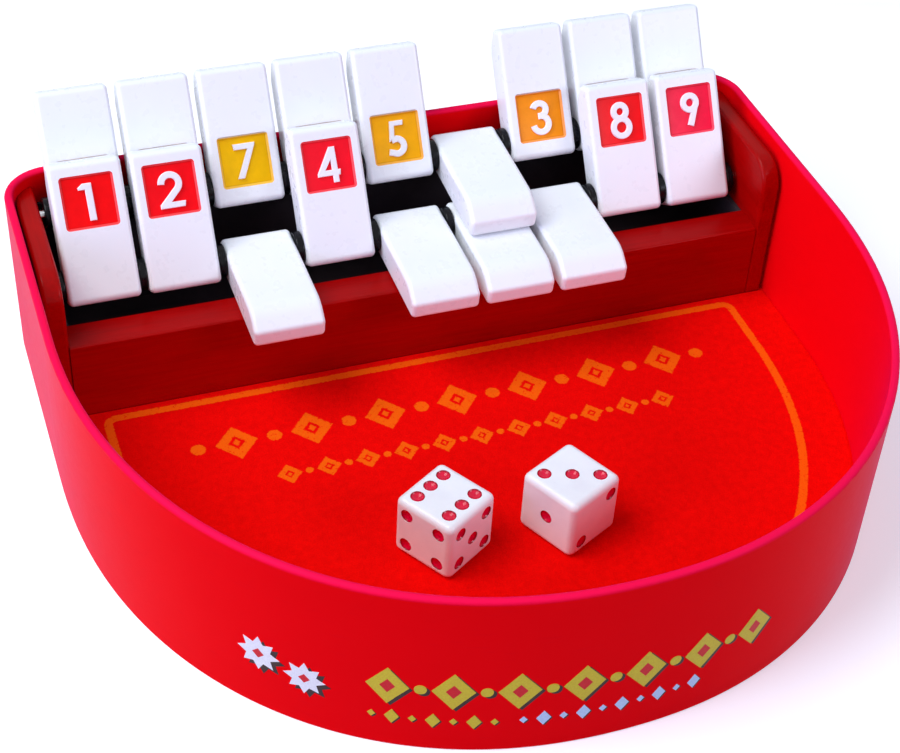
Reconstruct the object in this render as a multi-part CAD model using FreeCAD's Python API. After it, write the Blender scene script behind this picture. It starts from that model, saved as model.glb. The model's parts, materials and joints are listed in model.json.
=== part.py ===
"""Shut the box dice game with two rows of nine fold-down tiles in a D-shaped tray.

Millimetres, +Z up, +X to the player's right, the player at -Y.  The origin is on the tray's
underside, midway between the straight sides, at the line where they begin to curve into the front.
"""
import FreeCAD, Part
import math
import os
from FreeCAD import Vector

# Tiles, and the spacers between them
TILE_WIDTH = 22.4
TILE_LENGTH = 44.0
TILE_THICKNESS = 10.8
PIVOT_TO_FACE = 6.4            # pivot axis to the numbered face
PIVOT_TO_END = 6.2             # pivot axis to the hinged end
PIVOT_END_RADIUS = 2.2
FREE_END_HEIGHT = 6.0          # flat end face, above the numbered face
FREE_END_SLOPE = 0.8           # how far that end face leans in
BEVEL_LENGTH = 6.0             # slope from the back face down to the end face
BEVEL_RADIUS = 10.0
FREE_END_RADIUS = 1.8
TILE_EDGE_RADIUS = 1.5
SQUARE_SIZE = 16.4             # recessed number square
SQUARE_DEPTH = 0.8
SQUARE_CORNER_RADIUS = 1.1
SQUARE_BEVEL = 0.65            # slope at the foot of its walls
FRONT_SQUARE_FROM_FREE_END = 12.9
BACK_SQUARE_FROM_PIVOT = 7.7
SPACER_WIDTH = 2.6
SPACER_RADIUS = 5.4
SPACER_EDGE_RADIUS = 0.6
SIDE_CLEARANCE = 0.05          # between a tile and each spacer beside it
ROW_PLAY = 0.95                # between a centred row and each cheek
FRONT_ROW_SHIFT = -0.7
BACK_ROW_SHIFT = 0.5

# Rods
ROD_RADIUS = 1.5
ROD_CHAMFER = 0.4
BORE_CLEARANCE = 0.1
ROD_SEAT_DEPTH = 4.5
ROD_SEAT_CLEARANCE = 0.02
ROD_END_GAP = 0.2

# How the tiles stand and fall
LEAN = 32.0                    # degrees back from upright
FRONT_TILE_REST_GAP = 0.4      # fallen front tile above the riser
BACK_TILE_REST_GAP = 0.35      # tip of a fallen back tile above the fallen front tile
ROW_GAP = 0.35                 # between a standing front tile and the back tile behind it
RIM_GAP = 0.6                  # between a standing back tile and the tray's rim
BACK_TILE_DROP = 1.45          # how far a fallen back tile slopes down to its tip
FRONT_ROW = ("up", "up", "down", "up", "down", "down", "down", "up", "up")   # from the left
BACK_ROW = ("up", "up", "up", "up", "up", "down", "up", "up", "up")

# Tray
TRAY_FRONT_DEPTH = 136.7       # from the origin to the front of the round wall
TRAY_BACK_DEPTH = 81.6         # from the origin to the outside of the back wall
TRAY_HEIGHT = 57.9
TRAY_WALL = 2.5
TRAY_FLOOR = 1.5
TRAY_CORNER_RADIUS = 15.0
FRONT_FULLNESS = 2.15          # exponent of the front curve, 2 is an ellipse
FRONT_CURVE_POINTS = 17
RIM_RADIUS = 1.1
BASE_EDGE_RADIUS = 0.6

# Felt
FELT_THICKNESS = 0.5
FELT_EDGE_GAP = 0.5
FELT_TO_RISER_GAP = 0.2

# Frame: riser, cheeks and the black bed
FRAME_CLEARANCE = 0.2          # between the frame and the tray's back wall
CHEEK_TO_WALL = 1.1            # between each cheek and the tray's side wall
CHEEK_THICKNESS = 6.2
CHEEK_ABOVE_ROD = 4.7          # top of the cheeks above the back rod's axis
CHEEK_CORNER_RADIUS = 10.0
CHEEK_EDGE_RADIUS = 1.2
RISER_EDGE_RADIUS = 0.8
RISER_THICKNESS = 11.4
RISER_HEIGHT = 27.9
FRONT_ROD_SETBACK = 21.8       # front rod behind the riser's front
BED_THICKNESS = 1.6
BED_BACK_HEIGHT = 45.0
BED_SIDE_HEIGHT = 27.5
BED_END_GAP = 0.1

# Screws that hold the frame, countersunk in the tray's underside
SCREW_RADIUS = 1.5
SCREW_LENGTH = 14.0
SCREW_HEAD_RADIUS = 2.8
SCREW_HEAD_DEPTH = 1.3
SCREW_RECESS = 0.1
SCREW_CLEARANCE = 0.03
SCREW_SLOT_WIDTH = 0.8
SCREW_SLOT_DEPTH = 0.6
RISER_SCREW_X = 70.0
CHEEK_SCREW_SETBACK = 30.0

# Dice
DIE_SIZE = 20.8
DIE_EDGE_RADIUS = 2.2
DIE_LIFT = 0.05                # bottom face above the felt
PIP_RADIUS = 2.15
PIP_DEPTH = 1.15
PIP_OFFSET = 5.8
DIE_LEFT_CENTRE = (-24.2, -59.8)
DIE_LEFT_TURN = 31.9           # degrees
DIE_RIGHT_CENTRE = (13.9, -62.0)
DIE_RIGHT_TURN = 27.0

# Faces and edges closer than this share a place
SAME_PLACE = 0.0001

# Sizes that follow from the ones above
TILE_COUNT = len(FRONT_ROW)
BORE_RADIUS = ROD_RADIUS + BORE_CLEARANCE
TILE_PITCH = TILE_WIDTH + SPACER_WIDTH + 2 * SIDE_CLEARANCE
ROW_LENGTH = TILE_COUNT * TILE_PITCH + SPACER_WIDTH
CHEEK_INNER_X = ROW_LENGTH / 2 + ROW_PLAY
CHEEK_OUTER_X = CHEEK_INNER_X + CHEEK_THICKNESS
TRAY_HALF_WIDTH = CHEEK_OUTER_X + CHEEK_TO_WALL + TRAY_WALL
FRAME_INSET = TRAY_WALL + FRAME_CLEARANCE
FELT_TOP = TRAY_FLOOR + FELT_THICKNESS
RISER_TOP = TRAY_FLOOR + RISER_HEIGHT
# No fillet takes more than its wall or the rounding that it runs into can give.
RIM_FILLET = min(RIM_RADIUS, 0.45 * TRAY_WALL)
SQUARE_CHAMFER = min(SQUARE_BEVEL, 0.9 * SQUARE_DEPTH, 0.9 * SQUARE_CORNER_RADIUS)
TILE_SIDE_FILLET = min(TILE_EDGE_RADIUS, 0.9 * FREE_END_RADIUS, 0.9 * PIVOT_END_RADIUS)

SIN_LEAN = math.sin(math.radians(LEAN))
COS_LEAN = math.cos(math.radians(LEAN))
PIVOT_TO_BACK = TILE_THICKNESS - PIVOT_TO_FACE
TILE_REACH = TILE_LENGTH - PIVOT_TO_END

# A fallen front tile lies level on the riser, which sets the front rod's height.
FRONT_ROD_Z = RISER_TOP + FRONT_TILE_REST_GAP + PIVOT_TO_FACE
# A fallen back tile lies on the fallen front tile, which sets how much higher the back rod is.
BACK_ROD_RISE = TILE_THICKNESS + BACK_TILE_REST_GAP + BACK_TILE_DROP
BACK_ROD_Z = FRONT_ROD_Z + BACK_ROD_RISE
# A standing back tile leans against the rounded rim, which sets the back rod's distance from it.
RIM_CENTRE_Y = TRAY_BACK_DEPTH - TRAY_WALL + RIM_FILLET
RIM_CENTRE_Z = TRAY_HEIGHT - RIM_FILLET
BACK_ROD_TO_RIM = (PIVOT_TO_BACK + RIM_GAP + RIM_FILLET + (RIM_CENTRE_Z - BACK_ROD_Z) * SIN_LEAN) / COS_LEAN
BACK_ROD_Y = RIM_CENTRE_Y - BACK_ROD_TO_RIM
# A standing front tile is parallel to the back tile, one row gap in front of it.
FRONT_ROD_Y = BACK_ROD_Y - (TILE_THICKNESS + ROW_GAP + BACK_ROD_RISE * SIN_LEAN) / COS_LEAN
FRAME_FRONT_Y = FRONT_ROD_Y - FRONT_ROD_SETBACK
RISER_BACK_Y = FRAME_FRONT_Y + RISER_THICKNESS
FRAME_BACK_Y = TRAY_BACK_DEPTH - FRAME_INSET
CHEEK_TOP = BACK_ROD_Z + CHEEK_ABOVE_ROD

FRONT_TILE_FALL = 90.0 + LEAN
BACK_TILE_FALL = FRONT_TILE_FALL + math.degrees(math.asin(BACK_TILE_DROP / TILE_REACH))

FRONT_SQUARE_U = TILE_REACH - FRONT_SQUARE_FROM_FREE_END
BACK_SQUARE_U = BACK_SQUARE_FROM_PIVOT


def save(shape, node):
    """Write one node's STEP file after checking that it is sound."""
    if not shape.isValid():
        raise ValueError(node + " is not a valid shape")
    shape.exportStep("parts/" + node + ".step")
    print(node, "solids", len(shape.Solids), "volume", round(shape.Volume, 1))


def box(x0, x1, y0, y1, z0, z1):
    return Part.makeBox(x1 - x0, y1 - y0, z1 - z0, Vector(x0, y0, z0))


def cylinder_x(radius, x0, x1, y, z):
    return Part.makeCylinder(radius, x1 - x0, Vector(x0, y, z), Vector(1, 0, 0))


def rounded_profile(corners):
    """Closed wire in the YZ plane from (y, z, radius) corners, each rounded by a tangent arc."""
    edges = []
    joins = []
    count = len(corners)
    for i, (y, z, radius) in enumerate(corners):
        here = Vector(0, y, z)
        before = Vector(0, *corners[i - 1][:2]) - here
        after = Vector(0, *corners[(i + 1) % count][:2]) - here
        turn = before.getAngle(after)
        reach = radius / math.tan(turn / 2)
        start = here + before.normalize() * reach
        end = here + after.normalize() * reach
        middle_way = (before + after).normalize()
        middle = here + middle_way * (radius / math.sin(turn / 2) - radius)
        joins.append((start, middle, end))
    for i, (start, middle, end) in enumerate(joins):
        edges.append(Part.Arc(start, middle, end).toShape())
        edges.append(Part.LineSegment(end, joins[(i + 1) % count][0]).toShape())
    return Part.Wire(edges)


def tray_outline(inset, z):
    """D-shaped wire, moved inwards from the tray's outside by inset."""
    half = TRAY_HALF_WIDTH - inset
    back = TRAY_BACK_DEPTH - inset
    corner = TRAY_CORNER_RADIUS - inset
    power = 2.0 / FRONT_FULLNESS
    front = []
    for i in range(FRONT_CURVE_POINTS):
        turn = math.pi * i / (FRONT_CURVE_POINTS - 1)
        side = math.copysign(abs(math.cos(turn)) ** power, math.cos(turn))
        ahead = abs(math.sin(turn)) ** power
        # outward normal of the curve |x/a|^n + |y/b|^n = 1
        normal = Vector(
            math.copysign(abs(side) ** (FRONT_FULLNESS - 1), side) / TRAY_HALF_WIDTH,
            -ahead ** (FRONT_FULLNESS - 1) / TRAY_FRONT_DEPTH,
            0,
        ).normalize()
        point = Vector(TRAY_HALF_WIDTH * side, -TRAY_FRONT_DEPTH * ahead, z)
        front.append(point - normal * inset)
    front[0] = Vector(half, 0, z)
    front[-1] = Vector(-half, 0, z)
    curve = Part.BSplineCurve()
    curve.interpolate(
        Points=front, InitialTangent=Vector(0, -1, 0), FinalTangent=Vector(0, 1, 0), Scale=False
    )

    diagonal = corner * math.sqrt(0.5)
    left_centre = Vector(-half + corner, back - corner, z)
    right_centre = Vector(half - corner, back - corner, z)
    left_low = left_centre + Vector(-corner, 0, 0)
    left_high = left_centre + Vector(0, corner, 0)
    right_high = right_centre + Vector(0, corner, 0)
    right_low = right_centre + Vector(corner, 0, 0)
    return Part.Wire([
        curve.toShape(),
        Part.LineSegment(front[-1], left_low).toShape(),
        Part.Arc(left_low, left_centre + Vector(-diagonal, diagonal, 0), left_high).toShape(),
        Part.LineSegment(left_high, right_high).toShape(),
        Part.Arc(right_high, right_centre + Vector(diagonal, diagonal, 0), right_low).toShape(),
        Part.LineSegment(right_low, front[0]).toShape(),
    ])


def tray_prism(inset, z0, z1):
    return Part.Face(tray_outline(inset, z0)).extrude(Vector(0, 0, z1 - z0))


def level_edges(shape, z):
    """Edges that lie wholly at height z."""
    return [e for e in shape.Edges if max(abs(e.BoundBox.ZMin - z), abs(e.BoundBox.ZMax - z)) < SAME_PLACE]


def upright_edges(shape):
    """Edges that lie wholly in a plane of constant x."""
    return [e for e in shape.Edges if e.BoundBox.XLength < SAME_PLACE]


def screw_places():
    riser_y = FRAME_FRONT_Y + RISER_THICKNESS / 2
    cheek_x = CHEEK_INNER_X + CHEEK_THICKNESS / 2
    cheek_y = FRAME_FRONT_Y + CHEEK_SCREW_SETBACK
    return [(-RISER_SCREW_X, riser_y), (RISER_SCREW_X, riser_y), (-cheek_x, cheek_y), (cheek_x, cheek_y)]


def screw_hole(x, y):
    """Clearance hole with its countersink, open at the tray's underside."""
    wide = SCREW_HEAD_RADIUS + SCREW_CLEARANCE
    narrow = SCREW_RADIUS + SCREW_CLEARANCE
    mouth = Part.makeCylinder(wide, SCREW_RECESS, Vector(x, y, 0))
    sink = Part.makeCone(wide, narrow, SCREW_HEAD_DEPTH, Vector(x, y, SCREW_RECESS))
    shaft = Part.makeCylinder(narrow, SCREW_RECESS + SCREW_LENGTH + SCREW_CLEARANCE, Vector(x, y, 0))
    return mouth.fuse([sink, shaft])


def cut_screw_holes(shape):
    for x, y in screw_places():
        shape = shape.cut(screw_hole(x, y))
    return shape


def make_tray():
    outer = tray_prism(0, 0, TRAY_HEIGHT)
    tray = outer.cut(tray_prism(TRAY_WALL, TRAY_FLOOR, TRAY_HEIGHT))
    tray = tray.makeFillet(RIM_FILLET, level_edges(tray, TRAY_HEIGHT))
    tray = tray.makeFillet(BASE_EDGE_RADIUS, level_edges(tray, 0))
    return cut_screw_holes(tray)


def make_felt():
    felt = tray_prism(TRAY_WALL + FELT_EDGE_GAP, TRAY_FLOOR, FELT_TOP)
    back = FRAME_FRONT_Y - FELT_TO_RISER_GAP
    return felt.common(box(-TRAY_HALF_WIDTH, TRAY_HALF_WIDTH, -TRAY_FRONT_DEPTH, back, 0, TRAY_HEIGHT))


def make_riser():
    riser = box(-CHEEK_INNER_X, CHEEK_INNER_X, FRAME_FRONT_Y, RISER_BACK_Y, TRAY_FLOOR, RISER_TOP)
    long_edges = [e for e in level_edges(riser, RISER_TOP) if e.Length > RISER_THICKNESS * 2]
    return cut_screw_holes(riser.makeFillet(RISER_EDGE_RADIUS, long_edges))


def make_bed():
    """Black lining behind the riser: a floor, low sides, and a back up to below the rods' row."""
    half = CHEEK_INNER_X - BED_END_GAP
    inner = half - BED_THICKNESS
    front_of_back = FRAME_BACK_Y - BED_THICKNESS
    side_top = TRAY_FLOOR + BED_SIDE_HEIGHT
    floor = box(-half, half, RISER_BACK_Y, FRAME_BACK_Y, TRAY_FLOOR, TRAY_FLOOR + BED_THICKNESS)
    back = box(-half, half, front_of_back, FRAME_BACK_Y, TRAY_FLOOR, TRAY_FLOOR + BED_BACK_HEIGHT)
    left = box(-half, -inner, RISER_BACK_Y, FRAME_BACK_Y, TRAY_FLOOR, side_top)
    right = box(inner, half, RISER_BACK_Y, FRAME_BACK_Y, TRAY_FLOOR, side_top)
    bed = floor.fuse([back, left, right]).removeSplitter()
    return bed.common(tray_prism(FRAME_INSET, 0, TRAY_HEIGHT)).removeSplitter()


def make_cheek(side):
    """End board, side -1 at the left and 1 at the right, with blind seats for the rods."""
    cheek = box(CHEEK_INNER_X, CHEEK_OUTER_X, FRAME_FRONT_Y, FRAME_BACK_Y, TRAY_FLOOR, CHEEK_TOP)
    front_top = [e for e in level_edges(cheek, CHEEK_TOP) if e.BoundBox.YMax < FRAME_FRONT_Y + SAME_PLACE]
    cheek = cheek.makeFillet(CHEEK_CORNER_RADIUS, front_top)
    # Both outlines are softened at the front, round the corner and along the top.
    seen = [
        e for e in upright_edges(cheek)
        if e.CenterOfMass.z > TRAY_FLOOR + SAME_PLACE and e.CenterOfMass.y < FRAME_BACK_Y - SAME_PLACE
    ]
    cheek = cheek.makeFillet(CHEEK_EDGE_RADIUS, seen)

    seat_end = CHEEK_INNER_X + ROD_SEAT_DEPTH + ROD_END_GAP
    for y, z in ((FRONT_ROD_Y, FRONT_ROD_Z), (BACK_ROD_Y, BACK_ROD_Z)):
        cheek = cheek.cut(cylinder_x(ROD_RADIUS + ROD_SEAT_CLEARANCE, 0, seat_end, y, z))
    cheek = cheek.common(tray_prism(FRAME_INSET, 0, TRAY_HEIGHT))
    cheek = cut_screw_holes(cheek)
    if side < 0:
        cheek = cheek.mirror(Vector(0, 0, 0), Vector(1, 0, 0))
    return cheek


def make_rod(y, z):
    half = CHEEK_INNER_X + ROD_SEAT_DEPTH
    rod = cylinder_x(ROD_RADIUS, -half, half, y, z)
    return rod.makeChamfer(ROD_CHAMFER, upright_edges(rod))


def make_spacers(y, z, shift):
    """One disc at each end of the row and one between neighbouring tiles."""
    discs = []
    for i in range(TILE_COUNT + 1):
        x = shift + (i - TILE_COUNT / 2) * TILE_PITCH
        disc = cylinder_x(SPACER_RADIUS, x - SPACER_WIDTH / 2, x + SPACER_WIDTH / 2, y, z)
        disc = disc.makeFillet(SPACER_EDGE_RADIUS, upright_edges(disc))
        discs.append(disc.cut(cylinder_x(BORE_RADIUS, x - SPACER_WIDTH, x + SPACER_WIDTH, y, z)))
    return Part.makeCompound(discs)


def make_screws():
    screws = []
    for x, y in screw_places():
        head = Part.makeCone(SCREW_HEAD_RADIUS, SCREW_RADIUS, SCREW_HEAD_DEPTH, Vector(x, y, SCREW_RECESS))
        screw = head.fuse(Part.makeCylinder(SCREW_RADIUS, SCREW_LENGTH, Vector(x, y, SCREW_RECESS)))
        across = SCREW_HEAD_RADIUS
        along = SCREW_SLOT_WIDTH / 2
        slot_top = SCREW_RECESS + SCREW_SLOT_DEPTH
        slot = box(x - across, x + across, y - along, y + along, SCREW_RECESS, slot_top)
        screws.append(screw.cut(slot))
    return Part.makeCompound(screws)


def make_tile(square_u):
    """Upright tile pivoted at the origin, numbered face to -Y, its square's centre square_u up."""
    face = -PIVOT_TO_FACE
    back = PIVOT_TO_BACK
    profile = rounded_profile([
        (face, -PIVOT_TO_END, PIVOT_END_RADIUS),
        (back, -PIVOT_TO_END, PIVOT_END_RADIUS),
        (back, TILE_REACH - BEVEL_LENGTH, BEVEL_RADIUS),
        (face + FREE_END_HEIGHT, TILE_REACH, FREE_END_RADIUS),
        (face, TILE_REACH - FREE_END_SLOPE, FREE_END_RADIUS),
    ])
    tile = Part.Face(profile).extrude(Vector(TILE_WIDTH, 0, 0))
    tile.translate(Vector(-TILE_WIDTH / 2, 0, 0))
    tile = tile.makeFillet(TILE_SIDE_FILLET, upright_edges(tile))

    half = SQUARE_SIZE / 2
    pocket = box(-half, half, face - SQUARE_DEPTH, face + SQUARE_DEPTH, square_u - half, square_u + half)
    corners = [e for e in pocket.Edges if e.BoundBox.YLength > SQUARE_DEPTH]
    pocket = pocket.makeFillet(SQUARE_CORNER_RADIUS, corners)
    floor = [e for e in pocket.Edges if e.BoundBox.YMin > face + SQUARE_DEPTH / 2]
    pocket = pocket.makeChamfer(SQUARE_CHAMFER, floor)
    bore = cylinder_x(BORE_RADIUS, -TILE_WIDTH, TILE_WIDTH, 0, 0)
    return tile.cut(pocket).cut(bore)


def place_tile(tile, turn, x, y, z):
    """Turn a tile about its pivot, forwards for a positive turn, and set it on its rod."""
    placed = tile.copy()
    placed.rotate(Vector(0, 0, 0), Vector(1, 0, 0), turn)
    placed.translate(Vector(x, y, z))
    return placed


def pip_spots(value):
    """Pip places on a face in units of the pip offset. The six has its rows along the first axis."""
    spots = []
    if value % 2 == 1:
        spots.append((0, 0))
    if value >= 2:
        spots += [(-1, -1), (1, 1)]
    if value >= 4:
        spots += [(-1, 1), (1, -1)]
    if value == 6:
        spots += [(0, -1), (0, 1)]
    return spots


def make_die(centre, turn, faces):
    """Die with dished pips. faces gives, for each outward normal, its value and its two face axes."""
    half = DIE_SIZE / 2
    die = box(-half, half, -half, half, -half, half)
    die = die.makeFillet(DIE_EDGE_RADIUS, die.Edges)
    ball_radius = (PIP_RADIUS ** 2 + PIP_DEPTH ** 2) / (2 * PIP_DEPTH)
    for normal, value, first, second in faces:
        for a, b in pip_spots(value):
            spot = normal * (half + ball_radius - PIP_DEPTH) + (first * a + second * b) * PIP_OFFSET
            die = die.cut(Part.makeSphere(ball_radius, spot))
    die.rotate(Vector(0, 0, 0), Vector(0, 0, 1), turn)
    die.translate(Vector(*centre, FELT_TOP + DIE_LIFT + half))
    return die


def main():
    os.makedirs("parts", exist_ok=True)
    save(make_tray(), "tray")
    save(make_felt(), "felt_liner")
    save(make_riser(), "front_riser")
    save(make_bed(), "tile_bed")
    save(make_cheek(-1), "left_cheek")
    save(make_cheek(1), "right_cheek")
    save(make_rod(FRONT_ROD_Y, FRONT_ROD_Z), "front_rod")
    save(make_rod(BACK_ROD_Y, BACK_ROD_Z), "back_rod")
    save(make_spacers(FRONT_ROD_Y, FRONT_ROD_Z, FRONT_ROW_SHIFT), "front_spacers")
    save(make_spacers(BACK_ROD_Y, BACK_ROD_Z, BACK_ROW_SHIFT), "back_spacers")
    save(make_screws(), "frame_screws")

    # Front tiles count up from the left, back tiles count down.
    front_tile = make_tile(FRONT_SQUARE_U)
    back_tile = make_tile(BACK_SQUARE_U)
    for i in range(TILE_COUNT):
        across = (i - (TILE_COUNT - 1) / 2) * TILE_PITCH
        turn = FRONT_TILE_FALL - LEAN if FRONT_ROW[i] == "down" else -LEAN
        tile = place_tile(front_tile, turn, across + FRONT_ROW_SHIFT, FRONT_ROD_Y, FRONT_ROD_Z)
        save(tile, "front_tile_%d" % (i + 1))
        turn = BACK_TILE_FALL - LEAN if BACK_ROW[i] == "down" else -LEAN
        tile = place_tile(back_tile, turn, across + BACK_ROW_SHIFT, BACK_ROD_Y, BACK_ROD_Z)
        save(tile, "back_tile_%d" % (TILE_COUNT - i))

    right, back, up = Vector(1, 0, 0), Vector(0, 1, 0), Vector(0, 0, 1)
    save(make_die(DIE_LEFT_CENTRE, DIE_LEFT_TURN, [
        (up, 6, right, back), (-up, 1, right, back),
        (-right, 4, back, up), (right, 3, back, up),
        (-back, 5, right, up), (back, 2, right, up),
    ]), "die_left")
    save(make_die(DIE_RIGHT_CENTRE, DIE_RIGHT_TURN, [
        (up, 3, right, -back), (-up, 4, right, back),
        (-right, 1, back, up), (right, 6, back, up),
        (-back, 2, right, up), (back, 5, right, up),
    ]), "die_right")

    print("front rod y, z", round(FRONT_ROD_Y, 3), round(FRONT_ROD_Z, 3))
    print("back rod y, z", round(BACK_ROD_Y, 3), round(BACK_ROD_Z, 3))
    print("fall of a front and a back tile, degrees", round(FRONT_TILE_FALL, 3), round(BACK_TILE_FALL, 3))
    print("frame front y", round(FRAME_FRONT_Y, 3), "tray half width", round(TRAY_HALF_WIDTH, 3))


main()
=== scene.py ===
"""Looks of the shut the box dice game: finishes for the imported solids, and the felt, paint and print.

Sizes are in millimetres, apart from those of the camera, the table and the lamps, which are in metres.
"""
import json
import math
from bisect import bisect_right

import bpy
from mathutils import Matrix, Vector, noise
from mathutils.geometry import delaunay_2d_cdt


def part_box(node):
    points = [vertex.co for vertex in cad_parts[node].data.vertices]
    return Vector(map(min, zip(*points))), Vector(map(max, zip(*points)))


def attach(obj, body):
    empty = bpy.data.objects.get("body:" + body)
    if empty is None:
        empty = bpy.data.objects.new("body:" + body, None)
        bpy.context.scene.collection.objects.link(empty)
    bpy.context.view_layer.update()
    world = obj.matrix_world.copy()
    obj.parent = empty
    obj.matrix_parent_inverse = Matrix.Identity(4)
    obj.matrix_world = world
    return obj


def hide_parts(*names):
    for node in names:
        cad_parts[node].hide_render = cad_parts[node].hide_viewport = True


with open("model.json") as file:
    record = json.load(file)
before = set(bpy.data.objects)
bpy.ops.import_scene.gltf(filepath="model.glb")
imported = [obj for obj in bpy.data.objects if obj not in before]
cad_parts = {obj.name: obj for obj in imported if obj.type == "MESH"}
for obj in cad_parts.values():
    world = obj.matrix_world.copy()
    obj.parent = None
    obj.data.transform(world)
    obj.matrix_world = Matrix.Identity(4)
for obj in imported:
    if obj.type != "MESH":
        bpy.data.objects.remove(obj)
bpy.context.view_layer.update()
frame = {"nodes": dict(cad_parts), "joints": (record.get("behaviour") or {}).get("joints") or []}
nodes = frame["nodes"]
MM = 0.001

# Camera. It looks down at the game from the player's left, as the photograph does, with the
# frame slightly off the lens's axis.
CAMERA_PLACE = Vector((-0.1627587, -0.4125597, 0.3962436))
CAMERA_TARGET = Vector((-0.0015606, -0.0296837, 0.0357979))
CAMERA_ROLL = math.radians(4.488)
CAMERA_LENS = 74.333
CAMERA_SHIFT = (-0.04165, 0.00376)


def add_object(name, data):
    made = bpy.data.objects.new(name, data)
    bpy.context.scene.collection.objects.link(made)
    return made


def facing(place, target):
    """Matrix of a camera or a lamp that stands at a place and looks at a target."""
    turn = (Vector(target) - Vector(place)).to_track_quat("-Z", "Y")
    return Matrix.Translation(place) @ turn.to_matrix().to_4x4()


camera = add_object("camera", bpy.data.cameras.new("camera"))
camera.data.lens = CAMERA_LENS
camera.data.shift_x, camera.data.shift_y = CAMERA_SHIFT
camera.matrix_world = facing(CAMERA_PLACE, CAMERA_TARGET) @ Matrix.Rotation(CAMERA_ROLL, 4, "Z")
bpy.context.scene.camera = camera


# Tray. One shell of gloss red plastic, moulded in one shot, with a D-shaped outline and a
# rounded rim. Moulding leaves a faint ripple in the gloss, use scuffs its foot and rim, and a
# pink highlight is painted along the top of the rim.


class Value:
    """An output of a shading's nodes. A sum written with it adds Math nodes."""

    def __init__(self, shading, socket):
        self.shading = shading
        self.socket = socket

    def maths(self, operation, *terms, clamp=False):
        settings = {"operation": operation, "use_clamp": clamp}
        return self.shading.node("Math", settings, dict(enumerate(terms)))

    def __add__(self, other):
        return self.maths("ADD", self, other)

    def __radd__(self, other):
        return self.maths("ADD", other, self)

    def __sub__(self, other):
        return self.maths("SUBTRACT", self, other)

    def __rsub__(self, other):
        return self.maths("SUBTRACT", other, self)

    def __mul__(self, other):
        return self.maths("MULTIPLY", self, other)

    def __rmul__(self, other):
        return self.maths("MULTIPLY", other, self)

    def __truediv__(self, other):
        return self.maths("DIVIDE", self, other)

    def __pow__(self, other):
        return self.maths("POWER", self, other)

    def __abs__(self):
        return self.maths("ABSOLUTE", self)

    def at_most(self, other):
        return self.maths("MINIMUM", self, other)

    def at_least(self, other):
        return self.maths("MAXIMUM", self, other)

    def repeated(self, pitch):
        """The distance to the nearest whole multiple of a pitch, with its sign."""
        return self.maths("WRAP", self, pitch / 2, -pitch / 2)

    def above(self, edge, soft):
        """0 below the edge and 1 above it, with a soft step as wide as soft."""
        return self.maths("MULTIPLY_ADD", self, 1 / soft, 0.5 - edge / soft, clamp=True)

    def below(self, edge, soft):
        return self.maths("MULTIPLY_ADD", self, -1 / soft, 0.5 + edge / soft, clamp=True)


class Shading:
    """The nodes of a material or of the world."""

    def __init__(self, owner):
        owner.use_nodes = True
        self.tree = owner.node_tree
        self.tree.nodes.clear()

    def node(self, kind, settings=None, inputs=None, output=0):
        """A new node, with its settings and then its sockets set or linked, as the value of one output."""
        made = self.tree.nodes.new("ShaderNode" + kind)
        for name, setting in (settings or {}).items():
            setattr(made, name, setting)
        for name, value in (inputs or {}).items():
            if isinstance(value, Value):
                self.tree.links.new(value.socket, made.inputs[name])
            else:
                made.inputs[name].default_value = value
        return Value(self, made.outputs[output]) if made.outputs else None

    def mix(self, mask, under, over):
        """Colour under, with colour over it where the mask is 1."""
        return self.node("Mix", {"data_type": "RGBA"}, {0: mask, 6: under, 7: over}, 2)

    def seen(self):
        """1 for what the camera sees, plainly or in gloss or glass, and 0 for what lights the object."""
        kinds = ("Is Camera Ray", "Is Glossy Ray", "Is Transmission Ray")
        plain, glossy, through = (self.node("LightPath", output=kind) for kind in kinds)
        return plain.at_least(glossy).at_least(through)

    def end(self, shader, kind="Material"):
        self.node("Output" + kind, {}, {"Surface": shader})


class Finish(Shading):
    """A procedural material, and the place on the piece in millimetres."""

    def __init__(self, name):
        self.material = bpy.data.materials.new(name)
        super().__init__(self.material)
        here = self.node("TexCoord", output="Object")
        self.place = self.node("VectorMath", {"operation": "SCALE"}, {0: here, "Scale": 1 / MM})
        self.x, self.y, self.z = (self.node("SeparateXYZ", {}, {0: self.place}, i) for i in range(3))

    def along(self, axis):
        """How far the place lies along an axis from the origin."""
        return self.node("VectorMath", {"operation": "DOT_PRODUCT"}, {0: self.place, 1: axis}, "Value")

    def grain(self, size, detail=2.0, stretch=(1, 1, 1)):
        """Noise from 0 to 1, with features of that size in millimetres, stretched along each axis."""
        steps = Vector(stretch) * size
        scaled = self.node("VectorMath", {"operation": "DIVIDE"}, {0: self.place, 1: steps})
        return self.node("TexNoise", {}, {"Vector": scaled, "Scale": 1.0, "Detail": detail})

    def relief(self, height, depth, under=None):
        """Normal of a relief that is depth millimetres high where height is 1."""
        inputs = {"Height": height, "Distance": depth * MM, "Strength": 1.0}
        if under is not None:
            inputs["Normal"] = under
        return self.node("Bump", {}, inputs)

    def surface(self, **inputs):
        """Ends the finish in one Principled surface. An underscore in a name stands for a space."""
        inputs = {name.replace("_", " "): value for name, value in inputs.items()}
        self.end(self.node("BsdfPrincipled", {}, inputs))


def colour(*screen):
    """A screen colour from 0 to 255 as the linear colour that Blender takes."""
    shares = [level / 255 for level in screen]
    linear = [s / 12.92 if s <= 0.04045 else ((s + 0.055) / 1.055) ** 2.4 for s in shares]
    return (*linear, 1.0)


def dress(finish, *names):
    for name in names:
        for worn in nodes[name].material_slots:
            worn.material = finish.material


tray_low, tray_high = (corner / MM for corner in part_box("tray"))
TRAY_HALF_WIDTH = tray_high.x
TRAY_FRONT_DEPTH = -tray_low.y
TRAY_HEIGHT = tray_high.z
TRAY_FULLNESS = 2.15           # exponent of the round front's curve

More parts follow.
